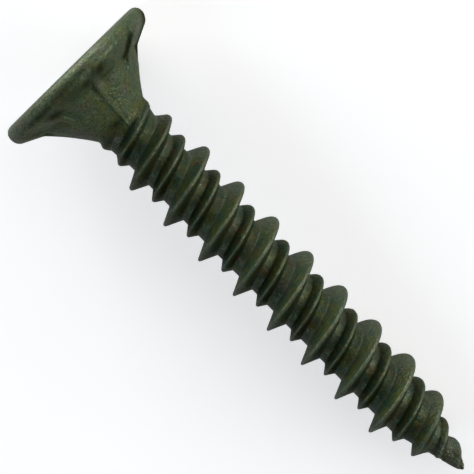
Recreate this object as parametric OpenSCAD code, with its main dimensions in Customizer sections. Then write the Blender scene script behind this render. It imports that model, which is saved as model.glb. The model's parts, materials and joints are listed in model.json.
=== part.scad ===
/* [Size] */
// Length from the face of the head to the point
length = 31.75; // [28:0.25:40]

/* [Head] */
// Diameter of the head
head_d = 10.12; // [9.4:0.02:11.2]
// Radius that rounds the edge between the face and the rim
face_edge_r = 0.5; // [0.3:0.02:0.6]
// Radius that rounds the edge between the rim and the underside
under_edge_r = 0.6; // [0.3:0.02:0.8]
// Straight band of the rim between the two rounded edges
rim_land = 0.1; // [0.05:0.01:0.5]
// Slope of the shallow underside against the plane of the face
under_angle = 26; // [15:1:32]
// Diameter where the shallow underside meets the steep cone
cone_d = 7.24; // [6.6:0.02:7.6]
// Length of the steep cone along the axis
cone_l = 2.32; // [2.1:0.02:3]
// Hollow of the cone's side against a straight line
cone_hollow = 0.085; // [0.02:0.005:0.15]
// Diameter at the neck, where the cone runs into the thread
neck_d = 3.46; // [3.3:0.02:3.8]

/* [Nibs under the head] */
// Number of cutting nibs round the cone
nib_count = 8; // [4:1:10]
// Height of a nib's steep side over the end of the ramp before it
nib_step = 0.16; // [0.1:0.02:0.3]
// Width of a nib's crest, in degrees round the axis
nib_land = 6; // [5:1:12]
// How far a crest stands over the ramp that starts beside it
nib_lip = 0.03; // [0.02:0.01:0.06]
// How much deeper the ramps are in the corner under the rim
corner_dig = 0.15; // [0.05:0.01:0.25]
// Width of that dug corner on the shallow underside
corner_reach = 0.6; // [0.4:0.05:0.8]
// Place of the first nib's steep side, in degrees from the thread's zero mark
nib_turn = 86; // [60:1:120]

/* [Drive recess] */
// Width over the four wings of the cross recess at the face
recess_d = 4.5; // [4:0.1:5]
// Width over the four wings at the floor
recess_floor_d = 1.9; // [1.8:0.1:2.4]
// Depth of the recess
recess_depth = 2.3; // [1.8:0.1:2.6]
// Thickness of a wing
wing_t = 0.95; // [0.8:0.05:1.1]
// Width of the round middle of the recess
recess_core_d = 1.7; // [1.4:0.05:1.75]

/* [Thread] */
// Travel of one full turn
lead = 2.76; // [2.6:0.02:3]
// Diameter over the high thread at mid length
high_d = 4.81; // [4.6:0.01:5]
// Growth of that diameter from the head to the point
high_growth = 0.09; // [0:0.01:0.15]
// Diameter over the low thread
low_d = 3.79; // [3.6:0.01:4]
// Diameter of the core between the threads
core_d = 2.82; // [2.7:0.01:3]
// Diameter of the core beside the neck
collar_d = 3.11; // [3.02:0.01:3.2]
// Flat on top of both threads
crest_w = 0.08; // [0.06:0.01:0.12]
// Flank of the high thread towards the head, in degrees from square to the axis
high_head_flank = 22.5; // [18:0.5:26]
// Flank of the high thread towards the point
high_point_flank = 23; // [18:0.5:26]
// Flank of the low thread towards the head
low_head_flank = 37; // [30:0.5:40]
// Flank of the low thread towards the point
low_point_flank = 27.5; // [22:0.5:34]
// Depth below the face where both threads reach their full height
run_in = 8.3; // [7:0.1:10]
// Diameter over both threads where they start at the neck
start_d = 3.5; // [3.4:0.02:3.7]
// Depth below the face of the low thread's first crest at the zero mark
first_low = 1.516; // [1.4:0.002:1.6]

/* [Point] */
// Length of the point's core cone
point_l = 4.4; // [4:0.1:5]
// Length over which the high thread runs down to the point
high_taper_l = 6.4; // [5.6:0.1:7]
// Distance from the point at which the low thread starts to run down
low_taper_l = 4.8; // [4:0.1:5.4]
// Distance from the point at which the low thread has died out
low_end = 1.5; // [0.8:0.1:2]

/* [Rest] */
// Turn of the screw about its own axis as it lies, in degrees
roll = -18; // [-180:1:180]

/* [Hidden] */
$fn = 64;
EPS = 0.05;

// Head outline, as [radius, depth below the face]
head_r = head_d / 2;
rim_end = face_edge_r + rim_land;
cone_depth = rim_end + under_edge_r / cos(under_angle)
    + tan(under_angle) * (head_r - under_edge_r - cone_d / 2);
neck_depth = cone_depth + cone_l;
edge_end = [
    head_r - under_edge_r * (1 - sin(under_angle)),
    rim_end + under_edge_r * cos(under_angle)
];
corner = [cone_d / 2, cone_depth];
neck = [neck_d / 2, neck_depth];
cone_bands = 6;
dig_bands = 3;
ramp_inset = nib_lip + nib_step / 2;

// The neck's outline goes on into the core, so that both meet inside the metal
buried_r = core_d / 2 - 0.2;

// Thread rows over one lead, as [offset from the low crest, height code]
segs = 48;
form_rows = 8;
ROOT = 0;
LOW = 1;
HIGH = 2;
high_h = (high_d - core_d) / 2;
low_h = (low_d - core_d) / 2;
half = crest_w / 2;
form = [
    [-half - low_h * tan(low_head_flank), ROOT],
    [-half, LOW],
    [half, LOW],
    [half + low_h * tan(low_point_flank), ROOT],
    [lead / 2 - half - high_h * tan(high_head_flank), ROOT],
    [lead / 2 - half, HIGH],
    [lead / 2 + half, HIGH],
    [lead / 2 + half + high_h * tan(high_point_flank), ROOT]
];
last_row = form_rows * ceil((length - first_low) / lead + 1);
tip_gap = 0.12;
shank_top = first_low - lead / 4;
cone_power = 0.8;
taper_power = 2;
low_power = 0.4;
start_depth = 4.2;
collar_fade = 1.6;
collar_start = neck_depth + 0.8;

function ease(t) = t <= 0 ? 0 : t >= 1 ? 1 : t * t * (3 - 2 * t);
function to_point(z) = max(0, length - z);

// Radius of the core at a depth below the face: the plain core and its cone, and the collar
function tip_core_r(z) = core_d / 2 * pow(min(1, to_point(z) / point_l), cone_power);
function core_r(z) = tip_core_r(z)
    + (collar_d - core_d) / 2 * (1 - ease((z - collar_start) / collar_fade));

// Radius over a crest where the thread still grows beside the head
function grown(full, z) =
    let (missing = max(0, min(1, (run_in - z) / (run_in - start_depth))))
    full - (full - start_d / 2) * missing * missing;

// Radius over the high crest: low beside the head, full along the shank, run down at the point
function high_r(z) =
    let (full = high_d / 2 + high_growth / 2 * (z / length - 0.5))
    let (taper = 1 - pow(max(0, 1 - to_point(z) / high_taper_l), taper_power))
    taper * grown(full, z);

// Radius over the low crest, which dies out earlier
function low_r(z) =
    let (left = max(0, min(1, (to_point(z) - low_end) / (low_taper_l - low_end))))
    max(core_r(z), tip_core_r(z) + (grown(low_d / 2, z) - core_d / 2) * pow(left, low_power));

// Places on the thread: column i goes round the axis, row m goes down it
function row_z(i, m) = first_low + lead * (floor(m / form_rows) + i / segs)
    + form[m % form_rows][0];
function row_kind(m) = form[m % form_rows][1];
function row_r(z, kind) = kind == HIGH ? high_r(z) : kind == LOW ? low_r(z) : core_r(z);
function thread_point(i, m) =
    let (z = row_z(i, m))
    let (r = row_r(z, row_kind(m)))
    [r * cos(360 * i / segs), r * sin(360 * i / segs), z];

// Last row of a column that is still clear of the tip
function row_count(i) = len([for (m = [0:last_row]) if (row_z(i, m) < length - tip_gap) m]);

// How the screw lies: on the under edge of its rim and on the thread crest that reaches lowest
function turned(p, a) = [p.x * cos(a) - p.y * sin(a), p.x * sin(a) + p.y * cos(a), p.z];
function tilt_over(p) =
    let (inward = head_r - under_edge_r + p.y)
    let (along = p.z - rim_end)
    atan2(inward, along) + asin(under_edge_r / norm([inward, along]));
lie = min([
    for (i = [0:segs - 1])
    for (m = [0:row_count(i) - 1])
    if (row_kind(m) == HIGH && row_z(i, m) > length / 2)
    tilt_over(turned(thread_point(i, m), roll))
]);
face_height = under_edge_r + rim_end * sin(lie) + (head_r - under_edge_r) * cos(lie);
head_end_x = face_edge_r * cos(lie) - (head_r - face_edge_r) * sin(lie) - face_edge_r;
middle_x = (head_end_x + length * cos(lie)) / 2;

// Side of the cone as a hollow arc from the corner to the neck, shifted outwards by grow, and run on
// straight until it is inside the core of the shank
function cone_arc(grow) =
    let (chord = neck - corner)
    let (c = norm(chord))
    let (arc_r = (c * c / 4 + cone_hollow * cone_hollow) / (2 * cone_hollow))
    let (out = [chord.y, -chord.x] / c)
    let (centre = (corner + neck) / 2 + out * (arc_r - cone_hollow))
    let (a0 = atan2(corner.y - centre.y, corner.x - centre.x))
    let (a1 = atan2(neck.y - centre.y, neck.x - centre.x))
    let (sweep = (a1 - a0 + 540) % 360 - 180)
    [
        for (k = [0:cone_bands])
        centre + arc_r * [cos(a0 + sweep * k / cone_bands), sin(a0 + sweep * k / cone_bands)]
            + [grow, 0]
    ];
function cone_side(grow = 0) =
    let (arc = cone_arc(grow))
    let (run = arc[cone_bands] - arc[cone_bands - 1])
    concat(arc, [arc[cone_bands] - run * (arc[cone_bands].x - buried_r) / run.x]);

// Revolved blank of the head, as high as the crests of the nibs
module head_blank() {
    side = cone_side();
    rotate_extrude() {
        translate([head_r - face_edge_r, face_edge_r]) circle(face_edge_r);
        translate([head_r - under_edge_r, rim_end]) circle(under_edge_r);
        polygon(concat(
            [[0, 0], [head_r - face_edge_r, 0], [head_r, face_edge_r], [head_r, rim_end], edge_end],
            side,
            [[0, side[cone_bands + 1].y]]
        ));
    }
}

// Outline under a ramp: the head's own, a little smaller, and dug out round the corner
function underside_at(r) = cone_depth - tan(under_angle) * (r + ramp_inset - corner.x);
function ramp_side() =
    let (side = cone_side(-ramp_inset))
    let (dug = [for (k = [0:cone_bands + 1]) pow(max(0, 1 - k / dig_bands), 1.5)])
    [for (k = [0:cone_bands + 1]) side[k] - corner_dig * dug[k] * [cos(45), sin(45)]];

// What is left under one ramp, revolved on an axis that is a little off centre
module ramp_core() {
    side = ramp_side();
    far_r = head_r + ramp_inset + nib_step + EPS;
    dig_r = corner.x + corner_reach;
    rotate_extrude() polygon(concat(
        [[0, 0], [far_r, 0], [far_r, underside_at(far_r)], [dig_r, underside_at(dig_r)]],
        side,
        [[0, side[cone_bands + 1].y]]
    ));
}

// Cutter between two nibs: nothing beside the crest it falls from, the full step at the next
module ramp_cut(k) {
    pitch = 360 / nib_count;
    start = nib_turn + k * pitch;
    shift = nib_step / (2 * sin(pitch / 2));
    reach = (head_r + 1) / cos((pitch - nib_land) / 2);
    depth = ramp_side()[cone_bands + 1].y;
    difference() {
        translate([0, 0, EPS]) linear_extrude(depth - 2 * EPS) polygon([
            [0, 0],
            reach * [cos(start - pitch), sin(start - pitch)],
            reach * [cos(start - nib_land), sin(start - nib_land)]
        ]);
        rotate(start - pitch / 2 + 90) translate([shift, 0]) ramp_core();
    }
}

// Cross recess in the face, with tapered wings and a pointed floor
module recess() {
    translate([0, 0, -EPS]) {
        intersection() {
            cylinder(h = recess_depth + EPS, d1 = recess_d, d2 = recess_floor_d);
            union() {
                for (a = [0, 90])
                rotate(a) translate([-recess_d / 2, -wing_t / 2]) cube([recess_d, wing_t, length / 4]);
            }
        }
        cylinder(h = recess_depth + EPS, d = recess_core_d);
    }
    translate([0, 0, recess_depth - EPS])
    cylinder(h = recess_core_d / 4 + EPS, d1 = recess_core_d, d2 = 0.3);
}

// Shank and both threads as one skin: helical rows, closed inside the head and at the tip
module threaded_shank() {
    counts = [for (i = [0:segs - 1]) row_count(i)];
    rows = last_row + 1;
    skin = [for (i = [0:segs - 1]) for (m = [0:last_row]) thread_point(i, m)];
    top = len(skin);
    tip = top + 1;
    at = function (i, m) i == segs ? m + form_rows : i * rows + m;
    ends = concat(counts, [counts[0] - form_rows]);
    shared = [for (i = [0:segs - 1]) min(ends[i], ends[i + 1])];
    polyhedron(
        points = concat(skin, [[0, 0, shank_top], [0, 0, length]]),
        faces = concat(
            [for (i = [0:segs - 1]) for (m = [0:shared[i] - 2]) [at(i, m), at(i, m + 1), at(i + 1, m + 1)]],
            [for (i = [0:segs - 1]) for (m = [0:shared[i] - 2]) [at(i, m), at(i + 1, m + 1), at(i + 1, m)]],
            [for (i = [0:segs - 1]) if (ends[i] > shared[i]) for (m = [shared[i] - 1:ends[i] - 2])
                [at(i, m), at(i, m + 1), at(i + 1, ends[i + 1] - 1)]],
            [for (i = [0:segs - 1]) [at(i, ends[i] - 1), tip, at(i + 1, ends[i + 1] - 1)]],
            [for (i = [0:segs - 1]) [at(i, 0), at(i + 1, 0), top]],
            [for (m = [0:form_rows - 1]) [at(0, m + 1), at(0, m), top]]
        ),
        convexity = 10
    );
}

// The screw upright on its face, with the point up and the thread's zero mark on +X
module upright_screw() {
    difference() {
        union() {
            difference() {
                head_blank();
                for (k = [0:nib_count - 1]) ramp_cut(k);
            }
            threaded_shank();
        }
        recess();
    }
}

// The screw as it lies: head towards -X, point towards +X and down on the floor
module screw() {
    color([0.27, 0.30, 0.27])
    translate([-middle_x, 0, face_height])
    rotate([0, lie, 0])
    rotate([90, 0, 90])
    rotate(roll)
    upright_screw();
}

screw();
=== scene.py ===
# %% [markdown]
# # A board screw with a sharp point
#
# The photograph shows one countersunk screw: a flat head with cutting nibs under it, a steep cone
# that runs into the thread, a high and a low ridge wound side by side, and a gimlet point. The packed
# CAD part says where the screw lies and how big it is. This script loads that part as a fixed frame
# and grows one closed skin of fine mesh in its place, with a mottled coating, so that Blender shows
# what the solid only sketches: rounded crests, root fillets, forging marks and worn edges.

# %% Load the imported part
import json
import math

import bpy
import numpy as np
from mathutils import Matrix, Vector


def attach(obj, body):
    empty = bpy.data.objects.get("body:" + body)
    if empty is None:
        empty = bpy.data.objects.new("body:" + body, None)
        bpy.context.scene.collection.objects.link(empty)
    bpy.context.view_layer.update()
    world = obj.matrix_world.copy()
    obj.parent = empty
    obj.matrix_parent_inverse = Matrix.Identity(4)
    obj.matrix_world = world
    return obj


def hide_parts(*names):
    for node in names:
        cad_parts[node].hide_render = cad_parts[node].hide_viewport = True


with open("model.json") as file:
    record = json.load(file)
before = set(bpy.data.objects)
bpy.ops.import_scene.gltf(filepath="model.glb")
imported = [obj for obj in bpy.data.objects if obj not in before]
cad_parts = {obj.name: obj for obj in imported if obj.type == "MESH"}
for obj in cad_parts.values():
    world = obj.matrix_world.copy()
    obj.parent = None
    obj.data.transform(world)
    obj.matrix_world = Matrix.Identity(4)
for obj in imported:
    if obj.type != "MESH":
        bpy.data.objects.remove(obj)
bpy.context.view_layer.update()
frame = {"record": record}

# %% [markdown]
# ## Where the screw lies
#
# A screw lies on two points, the edge of its head and one thread crest near the tip, so its axis
# slopes a little. The record keeps that slope in its mounts: the middle of the head's face, and the
# direction of the shank. Every shape below is worked out in the screw's own three numbers, which are
# the turn round its axis, the radius and the depth below the face, all in millimetres, and one
# function carries them to where the screw lies.

# %% The screw's own directions
MM = 0.001
ROLL = math.radians(-18.0)
mounts = {m["name"]: m for m in frame["record"]["mounts"]}
face_middle = np.array(mounts["drive_recess"]["pos_m"]) / MM
down_shank = np.array(mounts["shank_thread"]["axis"])
level = np.array([0.0, 1.0, 0.0])
raised = np.cross(down_shank, level)
zero_mark = math.cos(ROLL) * level + math.sin(ROLL) * raised
quarter_mark = -math.sin(ROLL) * level + math.cos(ROLL) * raised


def lying(x, y, depth):
    """Points given across and along the screw, in mm, carried to where it lies, in metres."""
    x, y, depth = (np.asarray(v, float)[..., None] for v in (x, y, depth))
    return MM * (face_middle + x * zero_mark + y * quarter_mark + depth * down_shank)


print("the shank slopes down by", round(math.degrees(math.asin(-down_shank[2])), 2), "degrees")

# %% [markdown]
# ## Columns round the screw
#
# The skin is a net of columns, which run down the screw, and rows, which go round it. Eight nibs sit
# under the head, one every 45 degrees, so one set of 24 column places is used eight times. The
# columns crowd together where a nib's steep side drops, because an edge can only be as crisp as the
# distance between two columns.

# %% Column places
NIBS = 8
PITCH = 45.0
NIB_TURN = 86.0
COLUMN_PLACES = (
    0, 2.5, 5, 7.5, 10, 12.5, 15, 17.5, 20, 22.5, 25, 27.5,
    30, 32.4, 34.2, 35.0, 36.8, 38.6, 39.9, 40.7, 41.2, 41.6, 42.0, 43.2,
)
turns = np.radians([PITCH * k + place for k in range(NIBS) for place in COLUMN_PLACES])
COLUMNS = len(turns)
print(COLUMNS, "columns round the screw")

# %% [markdown]
# ## Nibs
#
# Each nib is a ramp that climbs round the cone and ends in a narrow crest. Behind the crest the
# surface drops at once, and that steep side is what shaves the wood when the screw is driven. On this
# screw the nibs are worn and end below the rim, all but one, whose edge runs the whole way down the
# cone as a low rib and leans over under the rim. Forging dies are never quite even, so the corner
# under the rim is dug by a share that differs along each ramp. All of this is written as functions
# of the turn round the axis and the depth, because the mesh and the coating both ask for it. Where a
# value changes along a ramp, one row of numbers holds places, in degrees past the steep side, and
# another the values there.

# %% Turns and smooth steps
def eased(t):
    """0 before, 1 after, and a smooth climb in between."""
    t = np.clip(t, 0, 1)
    return t * t * (3 - 2 * t)


def degrees_past(turn, middle):
    """Degrees by which a turn lies past a middle one, between -180 and 180."""
    return (np.degrees(turn) - middle + 180) % 360 - 180


def nib_phase(turn):
    """Degrees past the steep side of the nib before a place."""
    return (np.degrees(turn) - NIB_TURN) % PITCH


print("the zero mark lies", float(nib_phase(0.0)), "degrees past a steep side")

# %% Nib ramps
NIB_STEP = 0.16
NIB_LIP = 0.03
STEEP_PLACES = (0.0, 0.2, 0.7)
STEEP_DROPS = (0.035, 0.075, 0.15)
RAMP_PLACES = (1.1, 2.2, 10, 20, 30, 37.6)
CREST_PLACES = (39.2, 40.4, 44.0, 44.8, PITCH)
CREST_DROPS = (0.03, 0.004, 0.0, 0.012, 0.035)
LONG_NIB_BEFORE = 7
RIB_PLACES = (0, 0.9, 2.3, 8, PITCH - 6, PITCH - 2, PITCH)
RIB_DROPS = (-0.028, 0.0, 0.045, 0.055, 0.012, -0.026, -0.028)
WORN_DROP = 0.005
WORN_FROM = 1.4
WORN_OVER = 1.05


def long_nib(turn):
    """True beside the one nib whose edge runs the whole way down the cone."""
    return (np.degrees(turn) - NIB_TURN + LONG_NIB_BEFORE) % 360 < PITCH


def nib_drop(turn, depth):
    """How far below the nibs' crests the cone lies at a turn and a depth, in mm."""
    past = nib_phase(turn)
    ramp_drops = [NIB_LIP + NIB_STEP * (1 - place / PITCH) for place in RAMP_PLACES]
    places = [*STEEP_PLACES, *RAMP_PLACES, *CREST_PLACES]
    drop = np.interp(past, places, [*STEEP_DROPS, *ramp_drops, *CREST_DROPS])
    rib = np.interp(past, RIB_PLACES, RIB_DROPS)
    worn = np.where(long_nib(turn), rib, WORN_DROP)
    return drop + (worn - drop) * eased((depth - WORN_FROM) / WORN_OVER)


print("the ramps lie up to", round(float(nib_drop(turns, 1.5).max()), 3), "mm below the crests")

# %% Corner under the rim and the leaning nib
BITE_PLACES = (0, 2, 12, 26, 34, 38.4, 40.4, PITCH)
BITE_SHARES = (0.3, 1, 0.75, 0.55, 1.1, 1.0, 0, 0)
SHALLOW_TURN = 58
SHALLOW_HALF = 11
SHALLOW_LOSS = 0.75
LEAN_TURN = 84
LEAN_HALF = 13
LEAN_DEGREES = -7.5
LEAN_FROM = 0.5
LEAN_OVER = 1.3
RUBBED_PLACES = (0, 0.2, 1.1, 38.4, 40.4, PITCH)
RUBBED_SHARES = (0.8, 0.55, 0, 0, 1, 0.8)


def corner_bite(turn):
    """Share of the corner's dip at a turn: deepest beside the crests, less half way between them."""
    bite = np.interp(nib_phase(turn), BITE_PLACES, BITE_SHARES)
    shallow = np.exp(-((degrees_past(turn, SHALLOW_TURN) / SHALLOW_HALF) ** 2))
    return bite * (1 - SHALLOW_LOSS * shallow)


def lean(turn, depth):
    """How far, in radians, the nib seen first in the photograph leans over under the rim."""
    near = np.exp(-((degrees_past(turn, LEAN_TURN) / LEAN_HALF) ** 2))
    return math.radians(LEAN_DEGREES) * near * (1 - eased((depth - LEAN_FROM) / LEAN_OVER))


def nib_crest(turn):
    """1 on the crest of a nib and 0 on the ramps between them."""
    return np.interp(nib_phase(turn), RUBBED_PLACES, RUBBED_SHARES)


print("the corner is dug by up to", round(float(corner_bite(turns).max()), 2), "of its dip")

# %% [markdown]
# ## The side of the head
#
# Seen from the side, the head is a short rim with rounded edges, a shallow underside, and a steep
# cone with a slightly hollow side. The outline is laid out densely first, then its corner is softened
# by averaging along it, as the blow of a forging die leaves it, and rows are taken from it where they
# are needed.

# %% Outline of the head
HEAD_R = 5.06
EDGE_R = 0.5
RIM_END = 0.6
UNDER_R = 0.6
UNDER_SLOPE = 26
RIM_BEND = 90 - UNDER_SLOPE
CORNER = np.array([3.62, 1.677])
NECK = np.array([1.73, 3.997])
HOLLOW = 0.075
SIDE_REACH = 1.35


def edge_point(middle, radius, angle):
    """Radius and depth of a point on a rounded edge, at an angle in degrees."""
    a = np.radians(angle)
    return np.array([middle[0] + radius * np.cos(a), middle[1] + radius * np.sin(a)])


def hollow_side(count):
    """The cone's side from the corner to the neck, run on straight inside the shank."""
    t = np.linspace(0, SIDE_REACH, count)[:, None]
    run = NECK - CORNER
    inward = np.array([-run[1], run[0]]) / np.linalg.norm(run)
    straight = CORNER + t * run
    return straight + inward * HOLLOW * np.where(t < 1, 4 * t * (1 - t), -4 * (t - 1))


edge_end = edge_point((HEAD_R - UNDER_R, RIM_END), UNDER_R, RIM_BEND)
t_under = np.linspace(0.03, 0.97, 60)[:, None]
underside = edge_end + t_under * (CORNER - edge_end)
side_dense = np.concatenate([[edge_end], underside, hollow_side(260)])
steps = np.linalg.norm(np.diff(side_dense, axis=0), axis=1)
side_s = np.concatenate([[0], np.cumsum(steps)])
print("underside and cone run", round(float(side_s[-1]), 2), "mm")

# %% [markdown]
# A row on this side is named by its distance along the outline. The ramps between the nibs are dug
# deeper in the corner under the rim, where the die bites hardest, and the dip fades along both sides.

# %% Rows of the head's side
SOFT = 0.07
RAMP_SOFT = 0.2
CORNER_DIG = 0.15
DIG_ABOVE = 0.62
DIG_BELOW = 1.15
LAST_ROW_S = 4.45
corner_s = float(np.linalg.norm(CORNER - edge_end))


def side_at(s, soft=SOFT):
    """Softened point of the head's side at a distance along its outline."""
    window = np.linspace(-2, 2, 17)
    weight = np.exp(-(window ** 2) / 2)
    soft = min(soft, 0.03 + s / 2)
    at = np.clip(s + soft * window, 0, side_s[-1])
    r = np.interp(at, side_s, side_dense[:, 0])
    z = np.interp(at, side_s, side_dense[:, 1])
    return np.array([(r * weight).sum(), (z * weight).sum()]) / weight.sum()


def corner_dip(s):
    """How deep the corner under the rim is dug between the nibs, in mm."""
    away = (corner_s - s) / DIG_ABOVE if s < corner_s else (s - corner_s) / DIG_BELOW
    return CORNER_DIG * max(0.0, 1 - away) ** 1.5


above_corner = np.linspace(0, corner_s - 0.2, 9)[1:]
round_corner = np.linspace(corner_s - 0.12, corner_s + 0.16, 6)
down_cone = np.linspace(corner_s + 0.26, LAST_ROW_S, 26)
row_s = np.concatenate([above_corner, round_corner, down_cone])
head_rows = [(side_at(s), side_at(s, RAMP_SOFT), corner_dip(s)) for s in row_s]
print(len(head_rows), "rows down the side, the last at depth", round(head_rows[-1][0][1], 2), "mm")

# %% [markdown]
# ## The two threads
#
# A board screw of this kind has a high ridge that pulls it in and a low one between its turns. Both
# climb by the same lead, so one outline over one lead tells everything. Four corners give each ridge:
# where its flank leaves the root, the two ends of its narrow crest, and where it meets the root again.
# The sharp outline is averaged over a few hundredths of a millimetre, which rounds the crests and
# leaves the fillets that a rolling die leaves.

# %% Outline of both ridges over one lead
LEAD = 2.76
FIRST_LOW = 1.516
LOW_CORNERS = (-0.405, -0.030, 0.075, 0.375)
HIGH_CORNERS = (-0.452, -0.015, 0.120, 0.530)
ROUNDING = 0.035
WINDOW_REACH = 1.8
WINDOW_FALL = 1.5


def ridge(offset, corners):
    """Height of a ridge, from 0 at the root to 1 on the crest, at an offset along the axis."""
    offset = (np.asarray(offset, float) + LEAD / 2) % LEAD - LEAD / 2
    window = np.linspace(-1, 1, 15) * ROUNDING * WINDOW_REACH
    weight = np.exp(-((window / ROUNDING) ** 2) * WINDOW_FALL)

    def soft(at):
        values = np.interp(at[..., None] + window, corners, [0, 1, 1, 0])
        return (values * weight).sum(-1) / weight.sum()

    return soft(offset) / soft(np.array((corners[1] + corners[2]) / 2))


LOW_PLACES = (
    -0.50, -0.44, -0.40, -0.35, -0.20, -0.085, -0.045, -0.01,
    0.04, 0.08, 0.12, 0.22, 0.33, 0.375, 0.43,
)
HIGH_PLACES = (
    -0.62, -0.51, -0.455, -0.41, -0.27, -0.14, -0.065, -0.02,
    0.02, 0.07, 0.12, 0.165, 0.24, 0.36, 0.48, 0.53, 0.58,
)
row_places = np.sort([*LOW_PLACES, *(LEAD / 2 + p for p in HIGH_PLACES)])
print(len(row_places), "rows over each lead of", LEAD, "mm")

# %% [markdown]
# ## Growth at the neck and run-out at the point
#
# The ridges start low where the cone meets the shank, reach their full height a turn and a half
# further down, and run down again to the point, the low one earlier. The core keeps its width until
# the last few millimetres and then closes to a point that is a little blunt, as worn tooling leaves it.

# %% Radii along the shank
LENGTH = 31.75
CORE_R = 1.41
COLLAR_R = 1.555
COLLAR_END = 4.797
COLLAR_FADE = 1.6
TIP_CONE = 4.4
TIP_FULLNESS = 0.8
NOSE_LENGTH = 1.2
NOSE_SIZE = 0.47
HIGH_R = 2.405
HIGH_GROWTH = 0.045
HIGH_RUN_OUT = 6.4
LOW_R = 1.895
LOW_FADES = 4.8
LOW_DIES = 1.5
LOW_FULLNESS = 0.4
START_R = 1.75
GROWS_FROM = 4.2
GROWN_AT = 8.3


def tip_cone(left):
    """Radius of the core's plain cone at a distance before the point."""
    return CORE_R * np.minimum(1, left / TIP_CONE) ** TIP_FULLNESS


def core_radius(depth):
    """Radius of the core, with its collar beside the neck, its cone and its rounded nose."""
    left = np.maximum(0, LENGTH - depth)
    nose = NOSE_SIZE * np.minimum(left, NOSE_LENGTH) ** 0.5
    collar = (COLLAR_R - CORE_R) * (1 - eased((depth - COLLAR_END) / COLLAR_FADE))
    return np.maximum(tip_cone(left), nose) + collar


def grown(full, depth):
    """A crest's radius where it still grows beside the head."""
    missing = np.clip((GROWN_AT - depth) / (GROWN_AT - GROWS_FROM), 0, 1)
    return full - (full - START_R) * missing ** 2


def high_radius(depth):
    """Radius over the high crest."""
    full = HIGH_R + HIGH_GROWTH * (depth / LENGTH - 0.5)
    left = np.maximum(0, LENGTH - depth)
    return (1 - np.maximum(0, 1 - left / HIGH_RUN_OUT) ** 2) * grown(full, depth)


def low_radius(depth):
    """Radius over the low crest."""
    kept_share = np.clip((LENGTH - depth - LOW_DIES) / (LOW_FADES - LOW_DIES), 0, 1)
    height = (grown(LOW_R, depth) - CORE_R) * kept_share ** LOW_FULLNESS
    return np.maximum(core_radius(depth), tip_cone(np.maximum(0, LENGTH - depth)) + height)


print("high crest at mid length:", round(float(high_radius(16.0)), 3), "mm from the axis")

# %% [markdown]
# ## One function for the whole side
#
# Cone, core and ridges are joined by taking the greater of their radii. A plain maximum would leave a
# knife edge where they meet, so a soft one is used, which adds a small fillet. The function also
# carries what the dies left: the slow unevenness of forged and rolled steel, a hundredth of a
# millimetre or so, made of sine waves with fixed random phases, a lump that fills the notch where the
# first ridge starts beside the neck, a lumpy last turn, and the thick knob just before the point.

# %% Unevenness and lumps
SLOW_HEIGHT = 0.0022
QUICK_HEIGHT = 0.0007
FULL_TURN = 6.28
LUMP_TURN = -2
LUMP_HALF = 40
LUMP_R = 1.775
LUMP_FALL = 0.3
LUMP_END = 4.28
ROLLED_HEIGHT = 0.02
ROLLED_FROM = 28.5
ROLLED_TO = LENGTH - 0.4
ROLLED_IN = 1.5
ROLLED_OUT = 0.8
KNOB_HEIGHT = 0.12
KNOB_TURN = 38
KNOB_HALF_TURN = 40
KNOB_DEPTH = 30.85
KNOB_HALF_DEPTH = 0.42


def random_wave(waves_round, slant, height):
    """A sine wave with a random number of waves round the screw, a random slant and phase."""
    return rng.integers(*waves_round), rng.uniform(*slant), rng.uniform(0, FULL_TURN), height


rng = np.random.default_rng(11)
slow = [random_wave((1, 6), (0.3, 1.8), SLOW_HEIGHT) for _ in range(14)]
quick = [random_wave((7, 26), (-9, 9), QUICK_HEIGHT) for _ in range(26)]


def unevenness(turn, depth):
    """Waves over the side, in mm, a hundredth or so high."""
    return sum(w * np.sin(n * turn + f * depth + p) for n, f, p, w in slow + quick)


def start_lump(turn, depth):
    """Radius of the lump that fills the notch between the neck and the start of the first ridge."""
    round_by = degrees_past(turn, LUMP_TURN) / LUMP_HALF
    return LUMP_R - np.maximum(0, depth - LUMP_END) ** 2 - LUMP_FALL * round_by ** 2


def rolled_lumps(turn, depth):
    """Lumps on the last turn before the point, in mm."""
    come = np.clip((depth - ROLLED_FROM) / ROLLED_IN, 0, 1)
    go = np.clip((ROLLED_TO - depth) / ROLLED_OUT, 0, 1)
    waves = np.sin(5 * turn + 6.1 * depth + 0.6) * np.sin(3 * turn - 9.7 * depth)
    return ROLLED_HEIGHT * come * go * waves


def knob(turn, depth):
    """The thick place just before the point, in mm."""
    round_by = degrees_past(turn, KNOB_TURN) / KNOB_HALF_TURN
    along_by = (depth - KNOB_DEPTH) / KNOB_HALF_DEPTH
    return KNOB_HEIGHT * np.exp(-(round_by ** 2) - along_by ** 2)


print("waves of up to", round(float(np.abs(unevenness(turns, 10.0)).max()), 4), "mm at depth 10")

# %% Radius at any place on the side
CALM_TIP = 6
JOIN_FILLET = 0.05
LUMP_FILLET = 0.03
cone_line = np.array([side_at(s) for s in np.linspace(corner_s + 0.3, side_s[-1] - 0.3, 120)])


def soft_max(a, b, width):
    """The greater of two radii, with a fillet where they cross."""
    return 0.5 * (a + b + np.sqrt((a - b) ** 2 + width ** 2))


def side_radius(turn, depth):
    """Radius of the finished side at a turn and a depth below the face."""
    core = core_radius(depth)
    climb = depth - FIRST_LOW - LEAD * turn / (2 * math.pi)
    low = ridge(climb, LOW_CORNERS)
    high = ridge(climb - LEAD / 2, HIGH_CORNERS)
    shank = core + low * (low_radius(depth) - core) + high * (high_radius(depth) - core)
    cone = np.interp(depth, cone_line[:, 1], cone_line[:, 0], right=0.0) - nib_drop(turn, depth)
    beside = depth < cone_line[-1, 1]
    joined = np.where(beside, soft_max(shank, cone, JOIN_FILLET), shank)
    joined = soft_max(joined, start_lump(turn, depth), LUMP_FILLET)
    fade = np.clip((LENGTH - depth) / CALM_TIP, 0, 1)
    return joined + fade * unevenness(turn, depth) + rolled_lumps(turn, depth) + knob(turn, depth)


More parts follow.
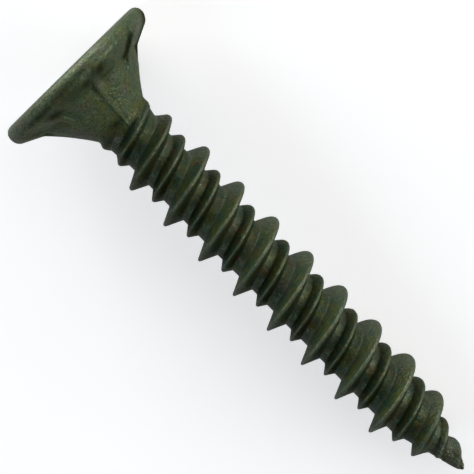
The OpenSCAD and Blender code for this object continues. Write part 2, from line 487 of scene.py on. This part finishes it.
print("the neck is", round(2 * float(side_radius(0.3, 4.1)), 2), "mm across")

# %% [markdown]
# ## The drive recess
#
# The recess is hidden in the photograph, but the screw is looked at from all sides, so it gets the
# usual cross with four tapered wings. Its outline is walked in even steps from the tip of a wing to the
# round middle, with a point on every corner, so that the same 24 columns serve each eighth of it.

# %% Outline of the cross
EIGHTH_SPLIT = (6, 13, 5)
WING_R = 2.25
WING_HALF = 0.475
MIDDLE_R = 0.85


def cross_outline(wing_r, half_t, middle_r):
    """Points round a cross with round-ended wings, one for each column."""
    tip_a = math.asin(half_t / wing_r)
    core_a = math.asin(half_t / middle_r)
    n_tip, n_side, n_core = EIGHTH_SPLIT
    a = np.linspace(0, tip_a, n_tip + 1)[:-1]
    tip = np.stack([wing_r * np.cos(a), wing_r * np.sin(a)], 1)
    x = np.linspace(wing_r * math.cos(tip_a), middle_r * math.cos(core_a), n_side + 1)[:-1]
    side = np.stack([x, np.full_like(x, half_t)], 1)
    a = np.linspace(core_a, math.pi / 4, n_core + 1)
    core = np.stack([middle_r * np.cos(a), middle_r * np.sin(a)], 1)
    eighth = np.concatenate([tip, side, core])
    quarter = np.concatenate([eighth, eighth[-2:0:-1, ::-1]])
    turned = [quarter]
    for _ in range(3):
        last = turned[-1]
        turned.append(np.stack([-last[:, 1], last[:, 0]], 1))
    return np.concatenate(turned)


print(len(cross_outline(WING_R, WING_HALF, MIDDLE_R)), "points round the cross")

# %% Rows of the recess and the face
RECESS_DEPTH = 2.3
FLOOR_TIP = 2.726
POINTED_FLOOR = ((0.06, 2.724), (0.15, 2.70), (0.3, 2.62), (0.5, 2.51), (0.7, 2.4))
BLEND_R = 0.82
BLEND_SHARE = 0.96
BLEND_DEPTH = 2.325
WING_FLOOR_R = 0.95
WING_FLOOR_HALF = 0.42
WING_FLARE = 0.055
BEVEL = 0.04
MOUTH_DEPTH = 0.008
WALL_STEPS = (0, 0.03, 0.1, 0.25, 0.4, 0.55, 0.7, 0.85, 0.95, 1 - BEVEL / RECESS_DEPTH)
FACE_STEPS = (0.08, 0.3, 0.6, 0.85, 1.0)
circle = np.stack([np.cos(turns), np.sin(turns)], 1)
top_rows = [(circle * r, z) for r, z in POINTED_FLOOR]
floor_outline = cross_outline(WING_FLOOR_R, WING_FLOOR_HALF, MIDDLE_R)
top_rows.append((0.5 * circle * BLEND_R + 0.5 * floor_outline * BLEND_SHARE, BLEND_DEPTH))
for t in WALL_STEPS:
    wing = WING_FLOOR_R + t * (WING_R - WING_FLOOR_R)
    half_t = WING_FLOOR_HALF + WING_FLARE * t
    top_rows.append((cross_outline(wing, half_t, MIDDLE_R), RECESS_DEPTH * (1 - t)))
mouth = cross_outline(WING_R + BEVEL * 0.4, WING_HALF + BEVEL * 0.5, MIDDLE_R + BEVEL * 0.5)
MOUTH_RING = len(top_rows)
top_rows.append((mouth, MOUTH_DEPTH))
lip = cross_outline(WING_R + BEVEL * 1.4, WING_HALF + BEVEL, MIDDLE_R + BEVEL)
top_rows.append((lip, 0.0))
for t in FACE_STEPS:
    top_rows.append((lip + t * (circle * (HEAD_R - EDGE_R) - lip), 0.0))
FACE_RING = len(top_rows)
print(len(top_rows), "rows from the recess floor to the edge of the face")

# %% [markdown]
# ## Net of the head
#
# Rows of the recess, the face, the rim and the side follow each other as closed rings, each with one
# point for every column. The nibs' ramps push the rings inwards, all the way on the cone and less and
# less round the rim's edge. The last rings reach the place where the ridges start, so they take the
# greater radius there.

# %% Head rows as points
BITE_SLANT = math.pi / 4
RIDGES_FROM = 3.4


def head_ring(crest_place, ramp_place, share, dip):
    """One row round the head: the nibs' ramps cut in by their share, the corner dug by dip."""
    ramp = 1 - nib_crest(turns)
    r = crest_place[0] + ramp * (ramp_place[0] - crest_place[0])
    z = crest_place[1] + ramp * (ramp_place[1] - crest_place[1])
    bite = dip * corner_bite(turns)
    out = r - share * nib_drop(turns, z) - bite * math.cos(BITE_SLANT)
    down = z - bite * math.sin(BITE_SLANT)
    out = out + unevenness(turns, z)
    out = np.where(z > RIDGES_FROM, np.maximum(out, side_radius(turns, z)), out)
    at = turns + lean(turns, crest_place[1])
    return np.stack([out * np.cos(at), out * np.sin(at), down], 1)


rings = [np.column_stack([xy, np.full(COLUMNS, z)]) for xy, z in top_rows]
for a in np.linspace(-90, 0, 7)[1:]:
    edge = edge_point((HEAD_R - EDGE_R, EDGE_R), EDGE_R, a)
    rings.append(head_ring(edge, edge, 0, 0))
for a in np.linspace(0, RIM_BEND, 8):
    edge = edge_point((HEAD_R - UNDER_R, RIM_END), UNDER_R, a)
    rings.append(head_ring(edge, edge, float(eased(a / RIM_BEND)), corner_dip(0) * a / RIM_BEND))
for crest_place, ramp_place, dip in head_rows:
    rings.append(head_ring(crest_place, ramp_place, 1, dip))
print(len(rings), "rings of", COLUMNS, "points")

# %% [markdown]
# ## Net of the thread
#
# Along the shank the rows follow the ridges, so each row climbs by one lead over a turn. A column
# keeps the rows that lie between the last ring of the head and the first ring of the tip, and the
# columns start and end at different rows. Where a turn closes, row m of the last column meets row m
# plus one lead's rows of the first.

# %% Helical rows
LEADS = 12
TIP_ROWS_FROM = LENGTH - 0.5
SEAM_AT_HEAD = 0.05
SEAM_AT_TIP = 0.03
head_end = rings[-1][:, 2].max() + SEAM_AT_HEAD
per_lead = len(row_places)
row_depths = np.concatenate([FIRST_LOW + LEAD * k + row_places for k in range(LEADS)])
shank_points = []
first_row = []
last_row = []
for turn in turns:
    depths = row_depths + LEAD * turn / (2 * math.pi)
    inside = np.nonzero((depths > head_end) & (depths < TIP_ROWS_FROM - SEAM_AT_TIP))[0]
    first_row.append(inside[0])
    last_row.append(inside[-1])
    kept = depths[inside[0]:inside[-1] + 1]
    r = side_radius(np.full_like(kept, turn), kept)
    shank_points.append(np.stack([r * np.cos(turn), r * np.sin(turn), kept], 1))
print(sum(len(p) for p in shank_points), "points along the shank")

# %% Rings of the tip
TIP_BLUNT = 0.12
CAP_FROM = LENGTH - 0.1
CAP_STEPS = (0.025, 0.045, 0.06, 0.07)
CAP_END = LENGTH - 0.02
TIP_END = LENGTH - 0.022
tip_depths = np.concatenate([np.linspace(TIP_ROWS_FROM, CAP_FROM, 16), CAP_FROM + np.array(CAP_STEPS)])
tip_rings = []
for z in tip_depths:
    r = side_radius(turns, np.full(COLUMNS, z))
    left = max(0.0, CAP_END - z)
    if left < TIP_BLUNT:
        r = np.minimum(r, math.sqrt(TIP_BLUNT ** 2 - (TIP_BLUNT - left) ** 2))
    tip_rings.append(np.stack([r * np.cos(turns), r * np.sin(turns), np.full(COLUMNS, z)], 1))
print(len(tip_rings), "rings at the tip")

# %% [markdown]
# ## Stitching the skin
#
# The whole skin is one list of points and one list of faces. Ring meets ring in four-sided faces.
# Where rings meet the climbing rows, each pair of columns closes its own small gap: a fan of
# triangles takes up the rows that one column has more than its neighbour.

# %% Faces of the skin
points = []
faces = []


def add_points(block):
    """Adds points and returns the number of the first."""
    start = len(points)
    points.extend(map(tuple, block))
    return start


def join_rings(a, b):
    """Four-sided faces between two rings that start at points a and b."""
    for i in range(COLUMNS):
        j = (i + 1) % COLUMNS
        faces.append((a + i, a + j, b + j, b + i))


floor_point = add_points([(0.0, 0.0, FLOOR_TIP)])
ring_starts = [add_points(ring) for ring in rings]
for i in range(COLUMNS):
    faces.append((floor_point, ring_starts[0] + (i + 1) % COLUMNS, ring_starts[0] + i))
for a, b in zip(ring_starts, ring_starts[1:]):
    join_rings(a, b)
column_starts = [add_points(block) for block in shank_points]
tip_starts = [add_points(ring) for ring in tip_rings]
end_point = add_points([(0.0, 0.0, TIP_END)])
for a, b in zip(tip_starts, tip_starts[1:]):
    join_rings(a, b)
for i in range(COLUMNS):
    faces.append((end_point, tip_starts[-1] + i, tip_starts[-1] + (i + 1) % COLUMNS))


def shank_point(column, row):
    """Number of a point on the shank; one column past the last is the first, one lead on."""
    if column == COLUMNS:
        column, row = 0, row + per_lead
    return column_starts[column] + row - first_row[column]


for i in range(COLUMNS):
    j = (i + 1) % COLUMNS
    shift = per_lead if i + 1 == COLUMNS else 0
    first_a, last_a = first_row[i], last_row[i]
    first_b, last_b = first_row[j] - shift, last_row[j] - shift
    for m in range(max(first_a, first_b), min(last_a, last_b)):
        row_pair = (shank_point(i + 1, m), shank_point(i + 1, m + 1))
        faces.append((shank_point(i, m), *row_pair, shank_point(i, m + 1)))
    for m in range(first_b, first_a):
        faces.append((shank_point(i, first_a), shank_point(i + 1, m), shank_point(i + 1, m + 1)))
    first_pair = (shank_point(i + 1, first_b), shank_point(i, first_a))
    faces.append((ring_starts[-1] + i, ring_starts[-1] + j, *first_pair))
    for m in range(last_b, last_a):
        faces.append((shank_point(i, m), shank_point(i + 1, last_b), shank_point(i, m + 1)))
    last_pair = (shank_point(i, last_a), shank_point(i + 1, last_b))
    faces.append((*last_pair, tip_starts[0] + j, tip_starts[0] + i))
print(len(points), "points and", len(faces), "faces")

# %% [markdown]
# ## The mesh
#
# Before the points are carried to where the screw lies, the tip is bent aside by a hundredth of a
# millimetre and drawn out by a tenth, as on the screw in the photograph. The points also remember
# what they belong to: the height on a ridge, the crest of a nib, the lines beside the ridges that
# carry painted highlights on the fillets and painted shade in the creases, the rubbed mouth of the
# recess, the face's edge with rubbing and a painted highlight, the ridge caps painted lighter on the
# lit side, the head's dark marks, partly stains and partly painted shade, its pale marks of painted
# light, and the place in the screw's own directions. The coating reads these values later. They
# could be painted by hand, but worked out from the turn and the depth they follow the shape exactly
# and come out the same on every run.

# %% Mesh object
BEND = -0.01
BEND_FROM = 28.4
BEND_OVER = 3.35
DRAW = 0.10
DRAW_FROM = 29.75
DRAW_OVER = 2.0
own = np.array(points)
bend = BEND * np.clip((own[:, 2] - BEND_FROM) / BEND_OVER, 0, 1) ** 2
drawn_out = DRAW * np.clip((own[:, 2] - DRAW_FROM) / DRAW_OVER, 0, 1) ** 2
placed = lying(own[:, 0] + bend, own[:, 1], own[:, 2] + drawn_out)
skin = bpy.data.meshes.new("screw_skin")
skin.from_pydata([tuple(p) for p in placed], [], faces)
skin.update()
skin.polygons.foreach_set("use_smooth", [True] * len(skin.polygons))
screw = bpy.data.objects.new("screw_body", skin)
bpy.context.scene.collection.objects.link(screw)


def signed_volume(mesh):
    """Volume that the faces enclose, in cubic mm, positive when they face outwards."""
    mesh.calc_loop_triangles()
    co = np.array([v.co for v in mesh.vertices])
    tri = np.array([t.vertices for t in mesh.loop_triangles])
    a, b, c = co[tri[:, 0]], co[tri[:, 1]], co[tri[:, 2]]
    return float(np.einsum("ij,ij->i", a, np.cross(b, c)).sum()) / 6 / MM ** 3


if signed_volume(skin) < 0:
    skin.flip_normals()
print("the skin holds", round(signed_volume(skin), 1), "cubic mm")

# %% Where each point lies
CONE_OUTSIDE = 1.4
turn_of = np.arctan2(own[:, 1], own[:, 0])
radius_of = np.hypot(own[:, 0], own[:, 1])
depth_of = own[:, 2]
climb_of = depth_of - FIRST_LOW - LEAD * turn_of / (2 * math.pi)


def past_depth(start, over):
    """0 above a depth, and 1 below it once the given distance is passed."""
    return eased((depth_of - start) / over)


on_head = 1 - past_depth(3.5, 0.8)
on_shank = past_depth(4.0, 0.6)
on_cone = past_depth(0.8, 0.5) * (1 - on_shank) * (radius_of > CONE_OUTSIDE)
tip_of = past_depth(28.6, 1.4)
high_of = on_shank * ridge(climb_of - LEAD / 2, HIGH_CORNERS)
low_of = on_shank * ridge(climb_of, LOW_CORNERS)
root_of = on_shank * (1 - np.clip(high_of + low_of, 0, 1))
plain_turn = turn_of - lean(turn_of, depth_of)
crest_of = on_cone * nib_crest(plain_turn)
crest_of = crest_of * (1 - (1 - long_nib(plain_turn)) * past_depth(1.55, 0.8))
print("root share of the skin:", round(float((root_of > 0.5).mean()), 2))

# %% Painted highlight and shade lines, lit caps and rubbed edges
# Painted highlights along the two root fillets, as lines beside the ridges.
FILLET_HIGHLIGHT_LINES = ((0.925, 0.035, 1.0), (1.95, 0.05, 0.5))
# Painted shade in the creases at the feet of the ridges.
CREASE_SHADE_LINES = ((-0.34, 0.12), (0.27, 0.11), (1.72, 0.14))
# Caps of the ridges, painted lighter on the side that the light falls on.
LIT_CAP_LINES = ((1.24, 0.16, 1.0), (0.8, 0.16, 0.7))
LIT_SIDE_TURN = 8
LIT_SIDE_HALF = 26
# Rubbing on the recess mouth, and rubbing with a painted highlight on the face's edge.
RUBBED_RINGS = (
    (MOUTH_RING, 0.7), (MOUTH_RING + 1, 0.9),
    (FACE_RING, 0.35), (FACE_RING + 1, 0.5), (FACE_RING + 2, 0.4),
)


def beside_ridge(place, width):
    """1 along a line that runs beside the ridges at a place within the lead, fading over a width."""
    away = (climb_of - place + LEAD / 2) % LEAD - LEAD / 2
    return on_shank * np.exp(-((away / width) ** 2))


# Painted highlight lines on the root fillets, then the rubbed rings of the recess and face.
fillet_highlight_and_wear_of = sum(share * beside_ridge(place, width) for place, width, share in FILLET_HIGHLIGHT_LINES)
ring_of = (np.arange(len(own)) - 1) // COLUMNS
for ring, rubbed in RUBBED_RINGS:
    fillet_highlight_and_wear_of[ring_of == ring] = rubbed
# Painted shade in the creases beside the ridges.
crease_shade_of = np.maximum.reduce([beside_ridge(place, width) for place, width in CREASE_SHADE_LINES])
# Painted light: the caps are kept to the side that the light falls on.
lit_side = np.exp(-((degrees_past(turn_of, LIT_SIDE_TURN) / LIT_SIDE_HALF) ** 2))
caps = sum(share * beside_ridge(place, width) for place, width, share in LIT_CAP_LINES)
lit_cap_of = lit_side * np.clip(caps, 0, 1)
print("rubbed share of the skin:", round(float((fillet_highlight_and_wear_of > 0.3).mean()), 3))

# %% Marks on the head
# Each mark as seen in the photograph: turn and depth of its middle, its half sizes, its strength.
# The dark marks are partly stains and partly painted shade under the rim, in the corner below it,
# at the nibs' steep sides and beside the neck.
MARK_FALL = 0.7
MARKS_OUTSIDE = 1.5
DARK_MARKS = (
    (76.5, 1.12, 4.4, 0.26, 1.0),
    (121, 1.27, 5.5, 0.19, 1.1),
    (89.5, 1.22, 4.0, 0.14, 1.0),
    (102, 0.62, 15, 0.16, 0.55),
    (102, 1.08, 12, 0.28, 0.45),
    (124, 0.72, 12, 0.15, 0.7),
    (87, 0.56, 4.0, 0.09, 0.8),
    (43.5, 1.30, 2.6, 0.36, 1.5),
    (100, 3.92, 13, 0.2, 0.9),
    (7, 1.0, 9, 0.5, 1.7),
    (-3, 2.4, 5, 1.0, 1.3),
    (153, 1.35, 10, 0.4, 0.55),
    (72, 1.75, 6, 0.35, 0.35),
)
# Pale marks are painted light: lit patches and highlights on the rim, the underside and the cone.
PAINTED_LIGHT_MARKS = (
    (70, 0.35, 7, 0.3, 0.8),
    (84, 0.22, 9, 0.14, 0.6),
    (87.5, 0.83, 2.8, 0.10, 1.1),
    (82, 1.5, 2.4, 0.6, 0.5),
    (28, 0.96, 6, 0.27, 1.3),
    (146, 0.45, 20, 0.32, 0.70),
    (109, 2.30, 9, 0.90, 0.40),
    (113, 0.40, 14, 0.24, 0.55),
)


def marked(marks):
    """Strength of a set of marks at each point of the skin."""
    total = np.zeros(len(own))
    for turn, depth, half_turn, half_depth, strength in marks:
        away_turn = degrees_past(turn_of, turn) / half_turn
        away = away_turn ** 2 + ((depth_of - depth) / half_depth) ** 2
        total = np.maximum(total, strength * np.exp(-away * MARK_FALL) * (radius_of > MARKS_OUTSIDE))
    return np.minimum(total, 1)


# Dark marks: partly stains, partly painted shade.
dark_stain_and_shade_of = marked(DARK_MARKS)
# Pale marks: painted light.
painted_light_of = marked(PAINTED_LIGHT_MARKS)
print(len(DARK_MARKS), "dark and", len(PAINTED_LIGHT_MARKS), "pale marks")

# %% Values kept on the points
def keep_value(name, values):
    """Stores one number a point for the coating to read."""
    layer = skin.attributes.new(name, "FLOAT", "POINT")
    layer.data.foreach_set("value", np.asarray(values, np.float32))


kept_values = {
    "high_ridge": high_of,
    "low_ridge": low_of,
    "root": root_of,
    "nib": crest_of,
    "head": on_head,
    "fillet": fillet_highlight_and_wear_of,
    "painted_crease_shade": crease_shade_of,
    "tip": tip_of,
    "lit_cap": lit_cap_of,
    "dark_stain_and_shade": dark_stain_and_shade_of,
    "painted_light_patch": painted_light_of,
}
for value_name, values in kept_values.items():
    keep_value(value_name, values)
place_layer = skin.attributes.new("own_place", "FLOAT_VECTOR", "POINT")
place_layer.data.foreach_set("vector", own.astype(np.float32).ravel())
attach(screw, "root")
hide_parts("screw")
print(len(kept_values), "numbers and one place kept at each point")

# %% [markdown]
# ## Writing shaders as sums
#
# A shader is a tree of nodes, and long trees are hard to read. This small class stands for one output
# socket. Adding or multiplying two of them adds the Math node that does it, so a mask can be written
# as an expression. Every other kind of node comes from one method.

# %% A socket that can be used in sums
class Socket:
    """One output of a shader tree, to be used in expressions."""

    def __init__(self, tree, out):
        self.tree = tree
        self.out = out

    def node(self, kind, settings=None, inputs=None, output=0):
        """Adds a node of a kind, with its settings and inputs, and returns one of its outputs."""
        made = self.tree.nodes.new(kind)
        for name, value in (settings or {}).items():
            setattr(made, name, value)
        for name, value in (inputs or {}).items():
            if isinstance(value, Socket):
                self.tree.links.new(value.out, made.inputs[name])
            else:
                made.inputs[name].default_value = value
        return Socket(self.tree, made.outputs[output])

    def math(self, operation, *values, clamp=False):
        """A Math node on this socket and up to two more values."""
        inputs = dict(enumerate((self, *values)))
        return self.node("ShaderNodeMath", {"operation": operation, "use_clamp": clamp}, inputs)

    def __add__(self, other):
        return self.math("ADD", other)

    __radd__ = __add__

    def __mul__(self, other):
        return self.math("MULTIPLY", other)

    __rmul__ = __mul__

    def __sub__(self, other):
        return self.math("SUBTRACT", other)

    def __rsub__(self, other):
        return self.node("ShaderNodeMath", {"operation": "SUBTRACT"}, {0: other, 1: self})

    def __pow__(self, other):
        return self.math("POWER", other)

    def clamped(self):
        """The value held between 0 and 1."""
        return self.math("ADD", 0.0, clamp=True)

    def between(self, low, high):
        """0 below low, 1 above high, and a smooth climb in between."""
        settings = {"interpolation_type": "SMOOTHSTEP"}
        inputs = {"Value": self, "From Min": low, "From Max": high}
        return self.node("ShaderNodeMapRange", settings, inputs)

    def tint(self, low, high):
        """A colour that goes from low to high as this value goes from 0 to 1."""
        low, high = (c if isinstance(c, Socket) else (*c, 1) for c in (low, high))
        inputs = {0: self, 6: low, 7: high}
        return self.node("ShaderNodeMix", {"data_type": "RGBA"}, inputs, output=2)


print("operators ready")

# %% [markdown]
# ## The coating
#
# The screw has a dull green-grey coating over steel. It is mottled: blue-black in patches along the
# roots, olive and brown where it is thin or stained, lighter on the head, darker on the flanks with
# painted shade, and lighter where handling has rubbed the crests and edges, which also carry painted
# highlights. Painted highlights run along the root fillets and as glints over the thread, painted
# shade lies in the creases at the ridges' feet, and the caps of the ridges are painted lighter on the
# side that the light falls on. The head carries dark marks, partly stains and partly painted shade,
# and pale marks of painted light. The colours are laid over each other one by one, each through its
# own mask. All patches are noise in the screw's own directions, so they stay with the metal. The noise
# keeps few octaves, because finer grain than a pixel would only blur the shine. Under the dark marks
# and the painted crease shade the shader turns to a dark metal, which has no pale coat that could
# shine through, and rougher.

# %% Coating material
coat = bpy.data.materials.new("mottled_coating")
coat.use_nodes = True
tree = coat.node_tree
shader = tree.nodes["Principled BSDF"]
place = Socket(tree, None).node("ShaderNodeAttribute", {"attribute_name": "own_place"}, output="Vector")


def kept(name):
    """One of the values kept on the points."""
    return place.node("ShaderNodeAttribute", {"attribute_name": name}, output="Fac")


def mottle(scale, detail=3.0, rough=0.55):
    """Noise between 0 and 1 whose patches are about 1/scale mm across."""
    inputs = {"Vector": place, "Scale": scale, "Detail": detail, "Roughness": rough, "Distortion": 0.7}
    return place.node("ShaderNodeTexNoise", {}, inputs, output="Fac")


high, low, root, nib = (kept(n) for n in ("high_ridge", "low_ridge", "root", "nib"))
stain_and_shade, painted_light, head = kept("dark_stain_and_shade"), kept("painted_light_patch"), kept("head")
fillet, painted_crease_shade, tip, lit_cap = (kept(n) for n in ("fillet", "painted_crease_shade", "tip", "lit_cap"))
broad = mottle(0.55)
patches = mottle(1.6, 2.5)
flecks = mottle(4.6, 1.5)
grain = mottle(8.5, 1.0)
print("four sizes of mottle, and", len(kept_values), "values from the points")

# %% Colours of the coating
olive = (0.076, 0.084, 0.008)
moss = (0.028, 0.070, 0.014)
sea_green = (0.016, 0.056, 0.034)
brown = (0.125, 0.052, 0.010)
blue_black = (0.016, 0.024, 0.028)
head_tone = (0.105, 0.145, 0.068)
pale_wear_and_highlight = (0.15, 0.17, 0.135)
violet_grey = (0.092, 0.072, 0.072)
lit_cap_grey = (0.125, 0.15, 0.105)
oxide_and_shade_dark = (0.010, 0.012, 0.006)
shaded_flank = (0.011, 0.029, 0.008)
CREST_SHARPNESS = 12
crest = (high ** CREST_SHARPNESS + low ** CREST_SHARPNESS).clamped()
flecked = flecks.between(0.35, 0.65)
base = patches.between(0.42, 0.58).tint(sea_green, olive)
base = (flecks.between(0.42, 0.62) * 0.5).tint(base, moss)
base = (head * (0.28 + 0.3 * flecked)).tint(base, head_tone)
stains = mottle(1.2, 2.5).between(0.55, 0.68) * (0.35 + 0.45 * root)
base = stains.tint(base, brown)
base = (root * broad.between(0.35, 0.65) * 0.45).tint(base, blue_black)
violet_patches = mottle(1.1, 1.0).between(0.56, 0.70) * 0.4
base = (violet_patches * (head + root).clamped()).tint(base, violet_grey)
# Painted light: the ridge caps on the lit side turn lighter and greyer.
base = (lit_cap * (0.5 + 0.4 * flecked)).tint(base, lit_cap_grey)
flank = ((high + low) * (1 - crest)).clamped() * 0.4
base = flank.tint(base, shaded_flank)
print(len(tree.nodes), "nodes for the clean coating")

# %% Wear and painted highlights, stains and painted shade, shine and relief
BUMP_HEIGHT = 0.00008
# Painted glints: small bright specks over the thread, most of all at the tip.
painted_glints = mottle(9.0, 0.5).between(0.58, 0.72) * (0.25 - 0.15 * head + 0.7 * tip)
# Rubbed crests and tip, with painted highlights on the crests, nib crests and root fillets, and the
# pale marks as painted light.
wear_and_highlights = crest * 0.6 + nib * 0.08 + fillet * 0.6 + tip * 0.28
wear_and_highlights = wear_and_highlights * (0.4 + grain.between(0.3, 0.7)) + painted_glints + painted_light * (0.35 + 0.5 * flecked)
base = wear_and_highlights.clamped().tint(base, pale_wear_and_highlight)
# Dark marks, partly stains and partly painted shade, and the painted crease shade turn to dark, rough
# metal.
stain_and_shade_mask = (stain_and_shade * (0.6 + 0.5 * flecks) + painted_crease_shade * 0.6).clamped()
base = stain_and_shade_mask.tint(base, oxide_and_shade_dark)
base = (grain.between(0.30, 0.70) * 0.6).tint(base, oxide_and_shade_dark)
tree.links.new(base.out, shader.inputs["Base Color"])
tree.links.new((stain_and_shade_mask * 0.85).out, shader.inputs["Metallic"])
rough = 0.42 + 0.4 * stain_and_shade - 0.2 * crest - 0.1 * fillet + 0.3 * (flecks - 0.5) + 0.3 * (grain - 0.5)
tree.links.new(rough.clamped().out, shader.inputs["Roughness"])
shader.inputs["IOR"].default_value = 1.5
shader.inputs["Specular Tint"].default_value = (0.88, 1.0, 0.62, 1)
lumps = (mottle(3.2, 0.0) * 0.5 + mottle(6.5, 1.0, 0.5) * 0.5) * (1 + tip + 0.5 * lit_cap)
bump = {"Strength": 1.0, "Distance": BUMP_HEIGHT, "Height": lumps}
relief = place.node("ShaderNodeBump", {}, bump, output="Normal")
tree.links.new(relief.out, shader.inputs["Normal"])
skin.materials.append(coat)
print(len(tree.nodes), "nodes in the coating")

# %% [markdown]
# ## Floor, camera and light
#
# The photograph is cut out on white, so the floor is plain and pale. One sheet can't be both nearly
# white to the camera and dim enough not to flood the screw's underside, so there are two: a glowing
# sheet that only the camera sees, and a dimmer one just below it that gives the screw its bounced
# light, its reflections and the soft shadow. The camera looks down on the lying screw from the
# direction that the outline of the photograph gives. It is set in the screw's own directions, because
# it belongs to the screw however that rolls to rest.

# %% Floor
FLOOR_HALF = 0.6


def floor_sheet(name, z, shade, glow):
    """A square sheet of paper under the screw, which may glow a little as a light table does."""
    sheet_mesh = bpy.data.meshes.new(name)
    half = FLOOR_HALF
    corners = [(-half, -half, z), (half, -half, z), (half, half, z), (-half, half, z)]
    sheet_mesh.from_pydata(corners, [], [(0, 1, 2, 3)])
    sheet = bpy.data.objects.new(name, sheet_mesh)
    bpy.context.scene.collection.objects.link(sheet)
    paper = bpy.data.materials.new(name)
    paper.use_nodes = True
    paper_shader = paper.node_tree.nodes["Principled BSDF"]
    paper_shader.inputs["Base Color"].default_value = (shade, shade, shade, 1)
    paper_shader.inputs["Roughness"].default_value = 0.9
    paper_shader.inputs["Emission Color"].default_value = (1, 1, 1, 1)
    paper_shader.inputs["Emission Strength"].default_value = glow
    sheet_mesh.materials.append(paper)
    return sheet


shown_floor = floor_sheet("floor", z=0.0, shade=0.72, glow=0.55)
shown_floor.visible_diffuse = False
shown_floor.visible_glossy = False
shown_floor.visible_shadow = False
bounce_floor = floor_sheet("bounce_floor", z=-0.0001, shade=0.55, glow=0.0)
bounce_floor.visible_camera = False
print("two sheets of paper,", 2 * FLOOR_HALF, "m wide")

# %% Camera
IMAGE_PIXELS = 474
FOCAL_PIXELS = 1834.75
SENSOR_WIDTH = 36.0
CAMERA_UP = 101.663
CAMERA_DEPTH = 0.4318
HALF_PIXEL = 0.5 / IMAGE_PIXELS
PICTURE_RIGHT = (0.695506, 0.713138, 0.087781)
INTO_PICTURE = (0.124623, 0.000590, -0.992204)


def own_direction(along, side, up):
    """A direction given down the shank, towards the zero mark and the quarter mark."""
    return Vector(along * down_shank + side * zero_mark + up * quarter_mark)


lens = bpy.data.cameras.new("photo_camera")
camera = bpy.data.objects.new("photo_camera", lens)
bpy.context.scene.collection.objects.link(camera)
right = own_direction(*PICTURE_RIGHT).normalized()
back = -own_direction(*INTO_PICTURE).normalized()
top = back.cross(right).normalized()
right = top.cross(back)
facing = Matrix((right, top, back)).transposed().to_4x4()
camera.matrix_world = Matrix.Translation(lying(0, CAMERA_UP, CAMERA_DEPTH)) @ facing
lens.sensor_width = SENSOR_WIDTH
lens.lens = SENSOR_WIDTH * FOCAL_PIXELS / IMAGE_PIXELS
lens.shift_x = -HALF_PIXEL
lens.shift_y = HALF_PIXEL
lens.clip_start = 0.01
bpy.context.scene.camera = camera
print("camera at", [round(v, 4) for v in camera.location])

# %% [markdown]
# The shading of the photograph tells where its light came from: most of it low from the right and
# from the top left, along the face of the head, some from above, and very little from below. The
# roots at the lower left are bluish, so the lamp on that side is too. A ring of soft round lamps
# stands in for that room, each placed by its angle round the picture, counted from the right, and its
# height over the picture's plane. The strengths were found by setting renders beside the photograph
# and comparing the grey of the same places on the thread.

# %% Lights
ROOM_GLOW = 0.03
world = bpy.data.worlds.new("studio")
bpy.context.scene.world = world
world.use_nodes = True
room = world.node_tree.nodes["Background"]
room.inputs["Color"].default_value = (1.0, 1.0, 1.0, 1)
room.inputs["Strength"].default_value = ROOM_GLOW
LAMP_FAR = 0.5
LAMP_SPREAD = 16
OVERHEAD_SPREAD = 20
OVERHEAD_FROM = 60
WHITE = (1.0, 1.0, 1.0)
BLUISH = (0.72, 0.86, 1.0)
LAMPS = (
    ("low_right", 0, 12, 1.70, WHITE),
    ("low_top_right", 45, 8, 0.60, WHITE),
    ("low_top_middle", 75, 12, 0.95, WHITE),
    ("low_top", 120, 12, 1.85, WHITE),
    ("low_top_left", 150, 12, 0.90, WHITE),
    ("bottom_left", 225, 22, 0.50, BLUISH),
    ("low_bottom", 300, 12, 0.05, WHITE),
    ("low_bottom_right", 330, 12, 0.05, WHITE),
    ("right", 0, 36, 0.33, WHITE),
    ("bottom_right", 330, 36, 0.10, WHITE),
    ("top", 90, 36, 0.24, WHITE),
    ("top_left", 120, 36, 0.33, WHITE),
    ("over", 45, 62, 0.46, WHITE),
)


def soft_lamp(name, picture_angle, height, power, color):
    """A round area light that faces the screw from its place in the picture's own directions."""
    a, h = math.radians(picture_angle), math.radians(height)
    towards = math.cos(h) * (math.cos(a) * right + math.sin(a) * top) + math.sin(h) * back
    lamp_data = bpy.data.lights.new(name, "AREA")
    lamp_data.shape = "DISK"
    spread = OVERHEAD_SPREAD if height > OVERHEAD_FROM else LAMP_SPREAD
    lamp_data.size = 2 * LAMP_FAR * math.tan(math.radians(spread))
    lamp_data.energy = power
    lamp_data.color = color
    lamp = bpy.data.objects.new(name, lamp_data)
    bpy.context.scene.collection.objects.link(lamp)
    lamp.location = towards * LAMP_FAR
    lamp.rotation_euler = towards.to_track_quat("Z", "Y").to_euler()


for lamp_row in LAMPS:
    soft_lamp(*lamp_row)
bpy.context.scene.view_settings.view_transform = "Standard"
print(len(bpy.data.lights), "lamps of", round(sum(row[3] for row in LAMPS), 2), "watts together")
